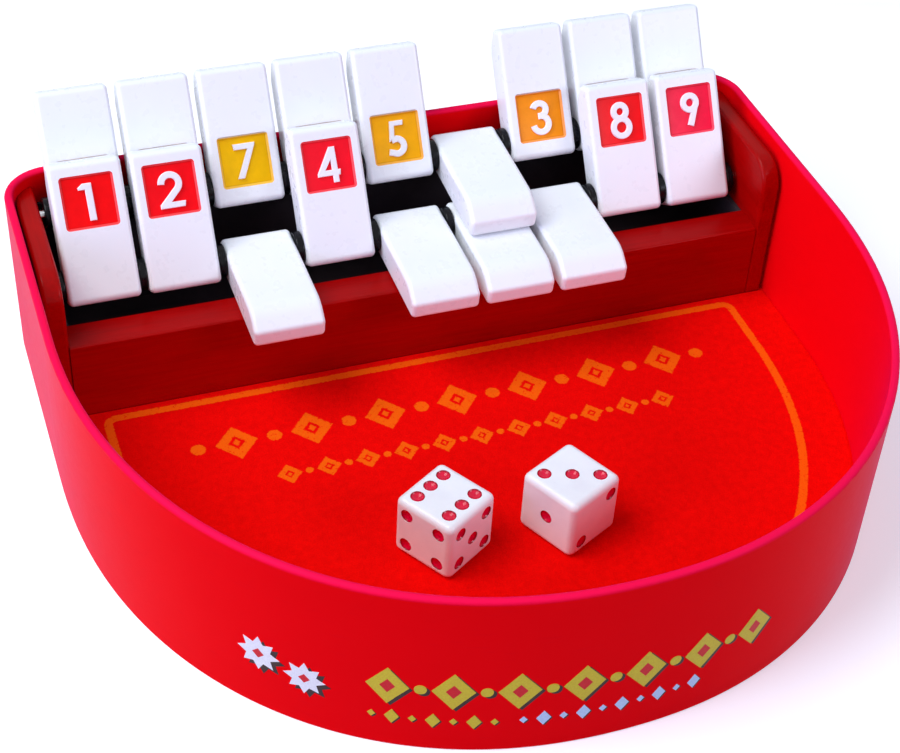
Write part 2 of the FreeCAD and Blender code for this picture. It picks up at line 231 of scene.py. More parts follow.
TRAY_RED = colour(248, 2, 12)
TRAY_CLOUD_RED = colour(242, 2, 10)
TRAY_SCUFFED_RED = colour(228, 16, 38)
# painted highlight: the pink line along the top of the rim
TRAY_RIM_HIGHLIGHT_RED = colour(255, 22, 84)
TRAY_SHEEN = (0.32, 0.03, 0.56, 1)

gloss_red = Finish("gloss_red_plastic")
ripple = gloss_red.grain(2.2, 3.0)
cloud = gloss_red.grain(35.0)
scuffs = gloss_red.grain(1.6, 4.0, stretch=(6, 6, 0.6)).above(0.66, 0.10)
foot = gloss_red.z.below(1.4, 1.6)
# the top of the wall, scuffed by use and also given the painted pink highlight
rim = gloss_red.z.above(TRAY_HEIGHT - 0.9, 1.2)
worn = (scuffs * (0.12 + 0.5 * foot + 0.35 * rim)).at_most(1.0)
clouded = gloss_red.mix(cloud, TRAY_RED, TRAY_CLOUD_RED)
scuffed = gloss_red.mix(worn, clouded, TRAY_SCUFFED_RED)
gloss_red.surface(
    Base_Color=gloss_red.mix(rim * 0.75, scuffed, TRAY_RIM_HIGHLIGHT_RED),
    Roughness=0.28 + 0.10 * ripple + 0.06 * cloud + 0.25 * worn,
    Normal=gloss_red.relief(ripple, 0.010),
    Specular_IOR_Level=0.01,
    Sheen_Weight=0.4,
    Sheen_Roughness=0.24,
    Sheen_Tint=TRAY_SHEEN,
)
dress(gloss_red, "tray")

# Felt. A sheet of short red felt, cut to the tray's outline in front of the riser and laid on
# the floor, with an orange border and two rows of lozenges and dots printed on its fibres.
FELT_RED = colour(255, 4, 2)
FELT_DEEP_RED = colour(222, 0, 0)
FELT_ORANGE = colour(255, 104, 8)
FELT_SHEEN = colour(255, 60, 40)
FELT_INSET = 3.0               # felt's edge inside the tray's outline
BORDER_INSET = 18.1            # border's middle line inside the tray's outline
BORDER_BACK = 21.1             # how far back that line runs
BORDER_WIDTH = 2.6
BORDER_CORNER = 3.0
LOZENGE_FRAME = 0.72           # middle of a lozenge's frame, 0 at the lozenge's centre and 1 at its edge
LOZENGE_FRAME_HALF = 0.30
LOZENGE_HEART = 0.20


def print_on_felt(felt):
    """How far a place lies inside the printed border or the rows of lozenges and dots, in millimetres."""
    power = TRAY_FULLNESS
    across = abs(felt.x) / (TRAY_HALF_WIDTH - BORDER_INSET)
    along = (0 - felt.y).at_least(0) / (TRAY_FRONT_DEPTH - BORDER_INSET)
    reach = across ** power + along ** power
    slope_x = across ** (power - 1) / (TRAY_HALF_WIDTH - BORDER_INSET)
    slope_y = along ** (power - 1) / (TRAY_FRONT_DEPTH - BORDER_INSET)
    slope = (slope_x * slope_x + slope_y * slope_y) ** 0.5 * power
    from_side = BORDER_CORNER - (1 - reach) / slope
    from_back = BORDER_CORNER - (BORDER_BACK - felt.y)
    corner = (from_side.at_least(0) ** 2 + from_back.at_least(0) ** 2) ** 0.5
    border = BORDER_WIDTH / 2 - abs(corner - BORDER_CORNER)

    def row(middle_x, middle_y, half_length, pitch, width, height, dot):
        x = felt.x - middle_x
        y = abs(felt.y - middle_y)
        lozenge = abs(x.repeated(pitch)) / (width / 2) + y / (height / 2)
        outer = (LOZENGE_FRAME_HALF - abs(lozenge - LOZENGE_FRAME)) * (width / 3)
        heart = (LOZENGE_HEART - lozenge) * (width / 3)
        between = abs((x + pitch / 2).repeated(pitch))
        spot = dot - (between ** 2 + y ** 2) ** 0.5
        return outer.at_least(heart).at_least(spot).at_most(half_length - abs(x))

    upper = row(middle_x=1.0, middle_y=0.0, half_length=87.0, pitch=24.0, width=13.0, height=14.5, dot=2.3)
    lower = row(middle_x=3.0, middle_y=-18.0, half_length=66.4, pitch=12.4, width=7.6, height=8.2, dot=1.2)
    return border.at_least(upper).at_least(lower)


felt_red = Finish("short_red_felt")
fibres = felt_red.grain(0.45, 4.0)
tufts = felt_red.grain(2.4, 3.0)
wear = felt_red.grain(42.0)
ink_gaps = felt_red.grain(0.8, 5.0)
printed = print_on_felt(felt_red) + 0.9 * (ink_gaps - 0.5)
inked = printed.above(0.0, 0.35) * ink_gaps.above(0.33, 0.16)
ground = felt_red.mix((0.55 * tufts + 0.45 * fibres).above(0.42, 0.5), FELT_DEEP_RED, FELT_RED)
ground = felt_red.mix(wear.above(0.62, 0.5) * 0.35, ground, FELT_DEEP_RED)
felt_red.surface(
    Base_Color=felt_red.mix(inked * (0.80 + 0.2 * fibres), ground, FELT_ORANGE),
    Roughness=0.93,
    Sheen_Weight=0.08,
    Sheen_Roughness=0.6,
    Sheen_Tint=FELT_SHEEN,
    Specular_IOR_Level=0.05,
    Normal=felt_red.relief(fibres, 0.14, felt_red.relief(tufts, 0.10)),
)

SHARP_ANGLE = math.radians(32)


def make_piece(name, points, faces, finish, body):
    """A mesh piece with smooth faces and sharp corners, riding on a body. Points are in millimetres."""
    mesh = bpy.data.meshes.new(name)
    mesh.from_pydata([Vector(point) * MM for point in points], [], faces)
    mesh.shade_smooth()
    mesh.set_sharp_from_angle(angle=SHARP_ANGLE)
    mesh.materials.append(finish.material)
    made = add_object(name, mesh)
    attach(made, body)
    return made


def walls(rings, around):
    """Faces between rings of points, each joined to the next."""
    faces = []
    for ring in range(rings - 1):
        low, high = ring * around, (ring + 1) * around
        for i in range(around):
            j = (i + 1) % around
            faces.append((low + i, high + i, high + j, low + j))
    return faces


def front_curve(inset, steps):
    """The tray's round front from the right side to the left, moved in by inset, with its normals."""
    curve = []
    power = 2 / TRAY_FULLNESS
    for i in range(steps + 1):
        turn = math.pi * i / steps
        side = math.copysign(abs(math.cos(turn)) ** power, math.cos(turn))
        ahead = abs(math.sin(turn)) ** power
        normal = Vector((
            math.copysign(abs(side) ** (TRAY_FULLNESS - 1), side) / TRAY_HALF_WIDTH,
            -ahead ** (TRAY_FULLNESS - 1) / TRAY_FRONT_DEPTH,
        )).normalized()
        point = Vector((TRAY_HALF_WIDTH * side, -TRAY_FRONT_DEPTH * ahead))
        curve.append((point - normal * inset, normal))
    return curve


FELT_FRONT_STEPS = 200
FELT_SIDE_STEPS = 8
FELT_BACK_STEPS = 80
FELT_RINGS = 52
FELT_CENTRE = Vector((0.0, -48.0))
FELT_EDGE = ((0.0, 0.02), (0.0, 0.26), (0.10, 0.40), (0.32, 0.48))    # inset, and height above the floor
FELT_TOP_INSET = 0.7
FELT_TOP = 0.46
TUFT_HEIGHT, TUFT_SIZE = 0.03, 2.6
SAG_HEIGHT, SAG_SIZE = 0.035, 17.0
SAG_NOISE = Vector((0, 0, 3))    # where the sag's noise is read, apart from the tufts'
felt_low, felt_high = (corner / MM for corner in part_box("felt_liner"))


def felt_outline(inset):
    """The felt's outline, moved in by inset, clockwise as seen from above, from its right back corner."""
    back = felt_high.y - inset
    curve = [point for point, _ in front_curve(FELT_INSET + inset, FELT_FRONT_STEPS)]
    curve[0].y = curve[-1].y = 0.0
    width = curve[0].x
    side = [back * i / FELT_SIDE_STEPS for i in range(FELT_SIDE_STEPS, 0, -1)]
    right = [Vector((width, y)) for y in side]
    left = [Vector((curve[-1].x, y)) for y in reversed(side)]
    rear = [Vector((-width + 2 * width * i / FELT_BACK_STEPS, back)) for i in range(1, FELT_BACK_STEPS)]
    return right + curve + left + rear


def felt_surface(x, y):
    """A place on the felt's top, which is never quite flat."""
    place = Vector((x, y, 0.0))
    tuft = TUFT_HEIGHT * noise.noise(place / TUFT_SIZE)
    sag = SAG_HEIGHT * noise.noise(place / SAG_SIZE + SAG_NOISE)
    return Vector((x, y, felt_low.z + FELT_TOP + tuft + sag))


points = []
for inset, height in FELT_EDGE:
    points += [(p.x, p.y, felt_low.z + height) for p in felt_outline(inset)]
for i in range(FELT_RINGS):
    for p in felt_outline(FELT_TOP_INSET):
        points.append(felt_surface(*(FELT_CENTRE + (p - FELT_CENTRE) * (1 - i / FELT_RINGS))))
ring_count = len(FELT_EDGE) + FELT_RINGS
around = len(points) // ring_count
faces = walls(ring_count, around)
last = (ring_count - 1) * around
top, bottom = len(points), len(points) + 1
for i in range(around):
    j = (i + 1) % around
    faces.append((last + i, top, last + j))
    faces.append((j, bottom, i))
points += [felt_surface(*FELT_CENTRE), (*FELT_CENTRE, felt_low.z + FELT_EDGE[0][1])]
felt = make_piece("felt", points, faces, felt_red, "tray_and_frame")
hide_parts("felt_liner")
edge = felt_outline(0.0)
felt_area = abs(sum(a.x * b.y - b.x * a.y for a, b in zip(edge, edge[1:] + edge[:1]))) / 2

# Riser and cheeks. Wooden boards cut to size, their edges eased, sprayed with satin red paint
# over a grain that still shows, and screwed to the tray's floor from below.
BOARD_RED = colour(174, 2, 3)
BOARD_DEEP_RED = colour(146, 1, 1)


def board_finish(name, stretch):
    """Satin paint over a grain that runs along the stretched axis."""
    board = Finish(name)
    streaks = board.grain(1.1, 4.0, stretch=stretch)
    bands = board.grain(9.0, stretch=stretch)
    orange_peel = board.grain(0.9)
    shade = (0.55 * streaks + 0.45 * bands).above(0.48, 0.42)
    board.surface(
        Base_Color=board.mix(shade, BOARD_DEEP_RED, BOARD_RED),
        Roughness=0.34 + 0.14 * streaks,
        Normal=board.relief(orange_peel, 0.010, board.relief(streaks, 0.02)),
        Specular_IOR_Level=0.04,
        Coat_Weight=0.12,
        Coat_Roughness=0.18,
    )
    return board


dress(board_finish("satin_red_paint_along_riser", (14, 1, 1)), "front_riser")
dress(board_finish("satin_red_paint_along_cheek", (1, 14, 1)), "left_cheek", "right_cheek")

# Bed. Black lining behind and under the tiles, matte plastic sheet with a fine grain and
# specks of dust.
LINING_BLACK = colour(50, 39, 44)
LINING_DUST = colour(72, 60, 64)

black_lining = Finish("matte_black_lining")
pores = black_lining.grain(0.35, 3.0)
dust = black_lining.grain(5.0, 4.0).above(0.6, 0.3)
black_lining.surface(
    Base_Color=black_lining.mix(dust * 0.25, LINING_BLACK, LINING_DUST),
    Roughness=0.66 + 0.2 * pores,
    Normal=black_lining.relief(pores, 0.03),
    Specular_IOR_Level=0.3,
)
dress(black_lining, "tile_bed")

# Rods and screws. Bright drawn steel, with fine lines that run round the rods where they were
# straightened, and with a few dull stains.
STEEL = colour(202, 202, 208)
STAINED_STEEL = colour(160, 158, 160)

bright_steel = Finish("bright_steel")
drawn = bright_steel.grain(0.25, stretch=(1, 12, 12))
stains = bright_steel.grain(7.0, 3.0).above(0.6, 0.3)
bright_steel.surface(
    Base_Color=bright_steel.mix(stains * 0.4, STEEL, STAINED_STEEL),
    Metallic=1.0,
    Roughness=0.20 + 0.12 * drawn + 0.1 * stains,
    Normal=bright_steel.relief(drawn, 0.004),
)
dress(bright_steel, "front_rod", "back_rod", "frame_screws")

# Spacers. Black gloss plastic discs, threaded on the rods between the tiles, with fine rubbing
# marks from the tiles on either side.
SPACER_BLACK = colour(9, 9, 13)
RUBBED_BLACK = colour(36, 37, 44)

black_plastic = Finish("gloss_black_plastic")
rubbed = black_plastic.grain(0.5, 3.0, stretch=(0.5, 3, 3))
black_plastic.surface(
    Base_Color=black_plastic.mix(rubbed.above(0.6, 0.2) * 0.3, SPACER_BLACK, RUBBED_BLACK),
    Roughness=0.16 + 0.16 * rubbed,
    Normal=black_plastic.relief(rubbed, 0.008),
    Specular_IOR_Level=0.16,
)
dress(black_plastic, "front_spacers", "back_spacers")

# Tiles. White gloss plastic blocks, moulded with a recessed square and a raised number. Only the
# square is painted, red in the front row and amber in the back row, and the number is left white.
TILE_WHITE = colour(246, 246, 247)
TILE_FLOW_WHITE = colour(241, 242, 245)
TILE_HANDLED_WHITE = colour(222, 222, 222)

tile_white = Finish("gloss_white_plastic")
flow = tile_white.grain(16.0)
skin = tile_white.grain(3.0)
handling = tile_white.grain(5.0, 3.0, stretch=(1, 3, 3)).above(0.62, 0.30)
moulded = tile_white.mix(flow, TILE_WHITE, TILE_FLOW_WHITE)
tile_white.surface(
    Base_Color=tile_white.mix(handling * 0.03, moulded, TILE_HANDLED_WHITE),
    Roughness=0.24 + 0.08 * skin + 0.04 * handling,
    Normal=tile_white.relief(skin, 0.0015),
    Specular_IOR_Level=0.5,
)
dress(tile_white, *(name for name in nodes if "_tile_" in name))

TILE_LEAN = 32.0               # degrees back from upright
PIVOT_TO_FACE = 6.4
SQUARE_SIZE = 16.4
SQUARE_DEPTH = 0.8
SQUARE_CORNER = 1.1
SQUARE_BEVEL = 0.65            # 45-degree slope at the foot of the square's walls
SQUARE_UP = {"front": 24.9, "back": 7.7}      # square's centre above the pivot
BARE_TOP = {"front": 0.0, "back": 0.45}       # unpainted strip along the top of each square
PAINT_FILM = 0.02
PAINT_SUNK = 0.03              # how far the film's hidden side lies in the plastic
NUMBER_STROKE = 2.05
NUMBER_SUNK = 0.05
NUMBER_SOFTENING = 0.20        # round of the number's top edge
ARC_STEP = 12                  # degrees

RED_SQUARES = {1: colour(255, 8, 14), 2: colour(255, 8, 22), 4: colour(255, 18, 40), 9: colour(255, 8, 62)}
AMBER_SQUARES = {7: colour(254, 194, 2), 5: colour(255, 178, 8), 3: colour(255, 150, 14)}
OTHER_RED = colour(252, 6, 16)
OTHER_AMBER = colour(254, 178, 8)
SQUARE_TONES = {"front": (RED_SQUARES, OTHER_RED), "back": (AMBER_SQUARES, OTHER_AMBER)}


def arc(x, y, radius, start, end, flat=1.0):
    """Points of an arc from one angle to another, in degrees."""
    steps = max(2, round(abs(end - start) / ARC_STEP))
    angles = [math.radians(start + (end - start) * i / steps) for i in range(steps + 1)]
    return [(x + radius * flat * math.cos(a), y + radius * math.sin(a)) for a in angles]


def stroke(line, width=NUMBER_STROKE):
    """Outline of a pen line of that width, with mitred corners."""
    line = [Vector(point) for point in line]
    ways = [(b - a).normalized() for a, b in zip(line, line[1:])]
    ways = [ways[0]] + ways + [ways[-1]]
    left, right = [], []
    for point, before, after in zip(line, ways, ways[1:]):
        middle = (before + after).normalized()
        side = Vector((-middle.y, middle.x)) * (width / 2 / middle.dot(after))
        left.append(point + side)
        right.append(point - side)
    return left + right[::-1]


def hoop(x, y, radius, width=NUMBER_STROKE):
    """Two half hoops of that width, which share their ends."""
    outer, inner = radius + width / 2, radius - width / 2
    return [arc(x, y, outer, start, start + 180) + arc(x, y, inner, start + 180, start)
            for start in (0, 180)]


# Outlines of each number's strokes, from its middle.
NINE = hoop(0.2, 2.25, 2.35) + [[(3.25, 1.3), (0.85, -5.75), (-1.2, -5.0), (0.3, -1.0), (1.6, 1.2)]]
NUMBERS = {
    1: [[(1.35, 5.55), (-1.35, 5.55), (-2.95, 4.35), (-2.75, 3.6), (-0.75, 3.6), (-0.6, -5.9),
         (1.5, -5.9)]],
    2: [stroke(arc(-0.15, 1.65, 2.75, 181, -45) + [(-2.75, -4.85)]),
        [(-4.0, -5.85), (3.6, -5.85), (3.95, -4.05), (-3.4, -4.05), (-4.0, -4.65)]],
    3: [stroke(arc(-0.1, 2.1, 2.1, 165, -90, 1.08) + [(-0.7, 0.0)]),
        stroke([(-0.7, 0.0)] + arc(0.0, -2.65, 2.65, 90, -173))],
    4: [[(0.7, 5.5), (-3.9, -2.6), (-3.9, -3.55), (-2.5, -3.55), (-1.35, -1.75), (0.78, 1.55),
         (2.6, 4.5), (2.55, 5.5)],
        [(-3.42, -1.75), (-3.9, -2.6), (-3.9, -3.55), (3.45, -3.55), (3.65, -1.75)],
        [(0.7, 5.5), (2.55, 5.5), (2.85, -5.8), (1.0, -5.8)]],
    5: [[(-1.2, 5.45), (2.75, 5.45), (2.55, 3.85), (-1.2, 3.85)],
        [(-1.75, 5.45), (-0.2, 5.45), (-0.65, 0.6), (-2.45, -1.2)],
        stroke([(-1.75, -0.75)] + arc(-0.2, -2.75, 2.4, 115, -122) + [(-2.9, -4.45)])],
    6: [[(-x, -y) for x, y in part] for part in NINE],
    7: [[(3.7, 5.4), (-3.4, 5.4), (-3.2, 3.55), (1.15, 3.55), (-3.1, -5.6), (-0.95, -5.6), (3.6, 4.6)]],
    8: hoop(-0.1, 2.75, 2.2) + hoop(0.0, -2.45, 2.8),
    9: NINE,
}


def fill(outlines, spacing=None):
    """Points and triangles of the area that flat outlines cover together, with inner points if spaced."""
    points, covers = [], []
    for outline in outlines:
        outline = [Vector(point) for point in outline]
        turned = sum(a.x * b.y - b.x * a.y for a, b in zip(outline, outline[1:] + outline[:1]))
        if turned < 0:
            outline.reverse()
        covers.append(list(range(len(points), len(points) + len(outline))))
        points += outline
    if spacing:
        low = [min(point[i] for point in points) for i in range(2)]
        high = [max(point[i] for point in points) for i in range(2)]
        columns, rows = (int((high[i] - low[i]) / spacing) + 1 for i in range(2))
        points += [Vector((low[0] + spacing * (i + 0.37), low[1] + spacing * (j + 0.41)))
                   for i in range(columns) for j in range(rows)]
    corners, _, triangles, _, _, sources = delaunay_2d_cdt(points, [], covers, 0, 0.001)
    kept = [triangle for triangle, source in zip(triangles, sources) if source]
    return without_unused(corners, kept)


def without_unused(points, faces):
    """The points that the faces use, and the faces with those points' new numbers."""
    used = sorted({i for face in faces for i in face})
    renumbered = {old: new for new, old in enumerate(used)}
    return [points[i] for i in used], [tuple(renumbered[i] for i in face) for face in faces]


def free_edges(triangles):
    """The edges that only one triangle has, in its direction."""
    sides = {(t[i], t[(i + 1) % 3]) for t in triangles for i in range(3)}
    return sorted((a, b) for a, b in sides if (b, a) not in sides)


SHORTEST_EDGE = 1.6            # of a flat shape's rim, as a share of its softening
MITRE_LIMIT = 0.75             # least strength that a mitre is worked out with


def raised(outlines, place, low, high, soften=0.0, spacing=None):
    """Points and faces of a flat shape that stands from low to high, with a softened top edge."""
    flat, triangles = fill(outlines, spacing)
    rim = free_edges(triangles)
    too_short = SHORTEST_EDGE * soften
    # Edges of the rim that are too short to be drawn in are closed up first.
    while short := [edge for edge in rim if (flat[edge[0]] - flat[edge[1]]).length < too_short]:
        kept, closed = short[0]
        triangles = [tuple(kept if i == closed else i for i in t) for t in triangles]
        triangles = [t for t in triangles if len(set(t)) == 3]
        rim = free_edges(triangles)
    outward = [Vector((0.0, 0.0)) for _ in flat]
    for a, b in rim:
        way = (flat[b] - flat[a]).normalized()
        for i in (a, b):
            outward[i] += Vector((way.y, -way.x))
    drawn_in = []
    for point, normal in zip(flat, outward):
        strength = max(normal.length_squared / 2, MITRE_LIMIT)
        drawn_in.append(point - normal * (soften / strength))
    count = len(flat)
    points = [place(p.x, p.y, low) for p in flat] + [place(p.x, p.y, high - soften) for p in flat]
    points += [place(p.x, p.y, high) for p in drawn_in]
    faces = [tuple(reversed(t)) for t in triangles] + [tuple(i + 2 * count for i in t) for t in triangles]
    for a, b in rim:
        faces.append((a, b, b + count, a + count))
        faces.append((a + count, b + count, b + 2 * count, a + 2 * count))
    return without_unused(points, faces)


def square_lining(place, bare_top):
    """Points and faces of the paint film in a square, which stops bare_top short of the square's top."""
    def outline(inset):
        half = SQUARE_SIZE / 2 - inset
        corner = max(SQUARE_CORNER - inset, 0.05)
        middle = half - corner
        points = []
        for x, y, start in ((1, -1, -90), (1, 1, 0), (-1, 1, 90), (-1, -1, 180)):
            points += arc(x * middle, y * middle, corner, start, start + 90)
        return [(x, min(y, SQUARE_SIZE / 2 - bare_top - inset)) for x, y in points]

    # Inset from the square's edge, and height above its floor: first the hidden side in the
    # plastic, then the seen side down the wall and the slope, rounded where it meets the floor.
    rings = [
        (SQUARE_BEVEL, -PAINT_SUNK), (-PAINT_SUNK, SQUARE_BEVEL), (-PAINT_SUNK, SQUARE_DEPTH - 0.04),
        (PAINT_FILM, SQUARE_DEPTH - 0.02), (PAINT_FILM, SQUARE_BEVEL + 0.01),
        (SQUARE_BEVEL - 0.10, 0.13), (SQUARE_BEVEL + 0.02, 0.04), (SQUARE_BEVEL + 0.15, PAINT_FILM),
    ]
    points = [place(x, y, height) for inset, height in rings for x, y in outline(inset)]
    around = len(points) // len(rings)
    faces = [(a, d, c, b) for a, b, c, d in walls(len(rings), around)]
    faces.append(tuple(reversed(range(around))))
    faces.append(tuple(range(len(points) - around, len(points))))
    return points, faces


def square_paint(name, tone, middle, up):
    """Gloss paint in a square about its middle, with a painted highlight on the slopes, painted shade at
    their foot and random darker pools.
    """
    paint = Finish(name)
    pooled = paint.grain(3.0, 3.0)
    specks = paint.grain(0.3)
    climb = paint.along(up)
    from_middle = abs(paint.x - middle.x).at_least(abs(climb - middle.dot(up)))
    # slope gets a painted highlight, and foot gets painted shade where the slopes meet the floor
    slope = from_middle.above(SQUARE_SIZE / 2 - SQUARE_BEVEL, 0.2)
    foot = from_middle.above(SQUARE_SIZE / 2 - SQUARE_BEVEL - 0.25, 0.3) * (1 - slope)
    # pale is the painted highlight on the slopes; deep is the painted shade at the foot and the tone of
    # the random pools
    pale = (*(c + 0.07 * (1 - c) for c in tone[:3]), 1.0)
    deep = (*(c * 0.5 for c in tone[:3]), 1.0)
    shade = pooled.above(0.55, 0.5) * 0.2 + foot * 0.45
    paint.surface(
        Base_Color=paint.mix(shade, paint.mix(slope, tone, pale), deep),
        Roughness=0.24 + 0.14 * pooled,
        Normal=paint.relief(specks, 0.002, paint.relief(pooled, 0.010)),
        Specular_IOR_Level=0.12,
    )
    return paint


NUMBER_WHITE = colour(246, 244, 248)
NUMBER_DULL_WHITE = colour(226, 222, 228)

number_white = Finish("raised_number_white")
number_skin = number_white.grain(0.7, 3.0)
number_white.surface(
    Base_Color=number_white.mix(number_skin.above(0.62, 0.2) * 0.3, NUMBER_WHITE, NUMBER_DULL_WHITE),
    Roughness=0.26 + 0.14 * number_skin,
    Normal=number_white.relief(number_skin, 0.008),
)


def number_tile(joint):
    """Paints the square of a joint's tile and adds its raised number, however the tile lies at rest."""
    tile = joint["child"]
    row, _, digit = tile.split("_")
    number = int(digit)
    low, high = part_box(tile)
    pivot = Vector(joint["pos_m"]) / MM
    pivot.x = (low.x + high.x) / 2 / MM
    rest_turn = -min(joint["range_deg"][0], 0.0)
    stand = Matrix.Translation(pivot) @ Matrix.Rotation(math.radians(rest_turn - TILE_LEAN), 4, "X")

    def on_face(x, y, height):
        """A place on the numbered face, from the square's centre, height above the square's floor."""
        return stand @ Vector((x, SQUARE_DEPTH - PIVOT_TO_FACE - height, y + SQUARE_UP[row]))

    tones, other = SQUARE_TONES[row]
    up = (stand.to_3x3() @ Vector((0, 0, 1))).normalized()
    paint = square_paint(tile + "_paint", tones.get(number, other), on_face(0, 0, 0), up)
    points, faces = square_lining(on_face, BARE_TOP[row])
    make_piece(tile + "_square", points, faces, paint, tile)
    points, faces = raised(NUMBERS[number], on_face, -NUMBER_SUNK, SQUARE_DEPTH - 0.01, NUMBER_SOFTENING)
    make_piece(tile + "_number", points, faces, number_white, tile)


for joint in frame["joints"]:
    if "_tile_" in joint["child"]:
        number_tile(joint)

# Dice. Moulded white plastic cubes, tumbled until their edges are round, with dished pips that
# are painted gloss red and wiped clean round their rims. Shade is painted dark inside each rim.
DIE_WHITE = colour(246, 246, 246)
DIE_CLOUD_WHITE = colour(236, 235, 238)

die_white = Finish("tumbled_white_plastic")
die_cloud = die_white.grain(7.0, 3.0)
die_skin = die_white.grain(0.8, 3.0)
die_white.surface(
    Base_Color=die_white.mix(die_cloud.above(0.5, 0.6), DIE_WHITE, DIE_CLOUD_WHITE),
    Roughness=0.24 + 0.12 * die_skin,
    Normal=die_white.relief(die_skin, 0.008),
    Specular_IOR_Level=0.4,
)
dress(die_white, "die_left", "die_right")

PIP_RADIUS = 2.15
PIP_DEPTH = 1.15
PIP_OFFSET = 5.8
PIP_FILM = 0.03
PIP_SUNK = 0.04                # how far the paint's hidden side lies in the die
PIP_RINGS = (0.35, 0.7, 1.05, 1.4, 1.7, 1.93, 2.11)
PIP_SIDES = 28
PIP_SHADE_DEPTH = 0.28                 # depth of the painted shade round the rim
PIP_RED = colour(232, 8, 62)
PIP_SHADE_RED = colour(128, 0, 16)
PIP_SPOTS = {
    1: [(0, 0)],
    2: [(-1, -1), (1, 1)],
    3: [(0, 0), (-1, -1), (1, 1)],
    4: [(-1, -1), (1, 1), (-1, 1), (1, -1)],
    5: [(0, 0), (-1, -1), (1, 1), (-1, 1), (1, -1)],
    6: [(-1, -1), (1, 1), (-1, 1), (1, -1), (0, -1), (0, 1)],
}

# Turn in degrees, then each face's outward normal, its value and the axes its pips are laid out on.
RIGHT, BACK, UP = Vector((1, 0, 0)), Vector((0, 1, 0)), Vector((0, 0, 1))
DICE = {
    "die_left": (31.9, [(UP, 6, RIGHT, BACK), (-UP, 1, RIGHT, BACK), (-RIGHT, 4, BACK, UP),
                        (RIGHT, 3, BACK, UP), (-BACK, 5, RIGHT, UP), (BACK, 2, RIGHT, UP)]),
    "die_right": (27.0, [(UP, 3, RIGHT, -BACK), (-UP, 4, RIGHT, BACK), (-RIGHT, 1, BACK, UP),
                         (RIGHT, 6, BACK, UP), (-BACK, 2, RIGHT, UP), (BACK, 5, RIGHT, UP)]),
}


def pip_paint(name, centre, half, axes):
    """Gloss red paint in the pips of a die, with shade painted darkest round each pip's rim."""
    paint = Finish(name)
    pool = paint.grain(1.2, 3.0)
    first, second, third = (abs(paint.along(axis) - centre.dot(axis)) for axis in axes)
    # painted shade: the paint darkens towards each pip's rim
    rim = first.at_least(second).at_least(third).above(half - PIP_SHADE_DEPTH, 0.5)
    paint.surface(
        Base_Color=paint.mix((pool.above(0.5, 0.4) * 0.3 + 0.8 * rim).at_most(1.0), PIP_RED, PIP_SHADE_RED),
        Roughness=0.10 + 0.12 * pool,
        Normal=paint.relief(pool, 0.01),
        Specular_IOR_Level=0.3,
    )
    return paint


def pip_lining(spot, normal):
    """Points and faces of the paint in one dished pip, a thin lens that follows the dish."""
    ball = (PIP_RADIUS ** 2 + PIP_DEPTH ** 2) / (2 * PIP_DEPTH)
    first = normal.orthogonal().normalized()
    second = normal.cross(first)
    rings = [(radius, PIP_FILM) for radius in PIP_RINGS]
    rings += [(radius, -PIP_SUNK) for radius in reversed(PIP_RINGS)]
    points = []
    for radius, film in rings:
        height = film - (math.sqrt(ball ** 2 - radius ** 2) - (ball - PIP_DEPTH))
        for i in range(PIP_SIDES):
            turn = 2 * math.pi * i / PIP_SIDES
            side = first * math.cos(turn) + second * math.sin(turn)
            points.append(spot + side * radius + normal * height)
    faces = walls(len(rings), PIP_SIDES)
    faces.append(tuple(range(PIP_SIDES)))
    faces.append(tuple(reversed(range(len(points) - PIP_SIDES, len(points)))))
    return points, faces


for die, (turn, sides) in DICE.items():
    low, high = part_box(die)
    centre = (low + high) / 2 / MM
    half = (high.z - low.z) / 2 / MM
    stand = Matrix.Translation(centre) @ Matrix.Rotation(math.radians(turn), 4, "Z")
    points, faces = [], []
    for normal, value, first, second in sides:
        for a, b in PIP_SPOTS[value]:
            spot = normal * half + (first * a + second * b) * PIP_OFFSET
            pip_points, pip_faces = pip_lining(spot, normal)
            faces += [tuple(i + len(points) for i in face) for face in pip_faces]
            points += [stand @ point for point in pip_points]
    axes = [stand.to_3x3() @ axis for axis in (RIGHT, BACK, UP)]
    make_piece(die + "_pips", points, faces, pip_paint(die + "_pip_paint", centre, half, axes), die)

# Print on the wall. A band of lozenges and dots in ochre ink with a dark offset shadow, a finer
# row of ochre and pale blue marks under it, and two stars, all pad-printed on the front.
WALL_STEPS = 1200
INK_SUNK = 0.08                # how far a mark's hidden side lies in the wall
INK_SPACING = 2.0              # between a mark's inner points, which bend it round the wall
BAND_START = -64.0             # along the wall from the front's middle
BAND_COUNT = 7
BAND_PITCH = 17.2
BAND_UP = 23.8
BAND_LOZENGE = (11.5, 14.0)
BAND_HEART = (4.2, 5.2)
BAND_DOT = 1.7
FINE_PITCH = 5.4
FINE_LOZENGES = ((2.2, 2.6), (4.0, 5.6))
STARS = ((-100.0, 21.5, 6.4, 3.6), (-86.5, 18.5, 6.0, 3.4))    # along, up, radius and heart
STAR_POINTS = 8
STAR_WAIST = 0.62              # share of the radius

wall = front_curve(0.0, WALL_STEPS)
lengths = [0.0]
for (a, _), (b, _) in zip(wall, wall[1:]):
    lengths.append(lengths[-1] + (b - a).length)
front_middle = lengths[WALL_STEPS // 2]


def on_wall(along, up, proud):
    """A place on the outside of the wall: along it from the front's middle, up from the table."""
    want = front_middle - along
    i = bisect_right(lengths, want)
    share = (want - lengths[i - 1]) / (lengths[i] - lengths[i - 1])
    (a, normal_a), (b, normal_b) = wall[i - 1], wall[i]
    point = a.lerp(b, share) + normal_a.lerp(normal_b, share).normalized() * proud
    return Vector((point.x, point.y, up))


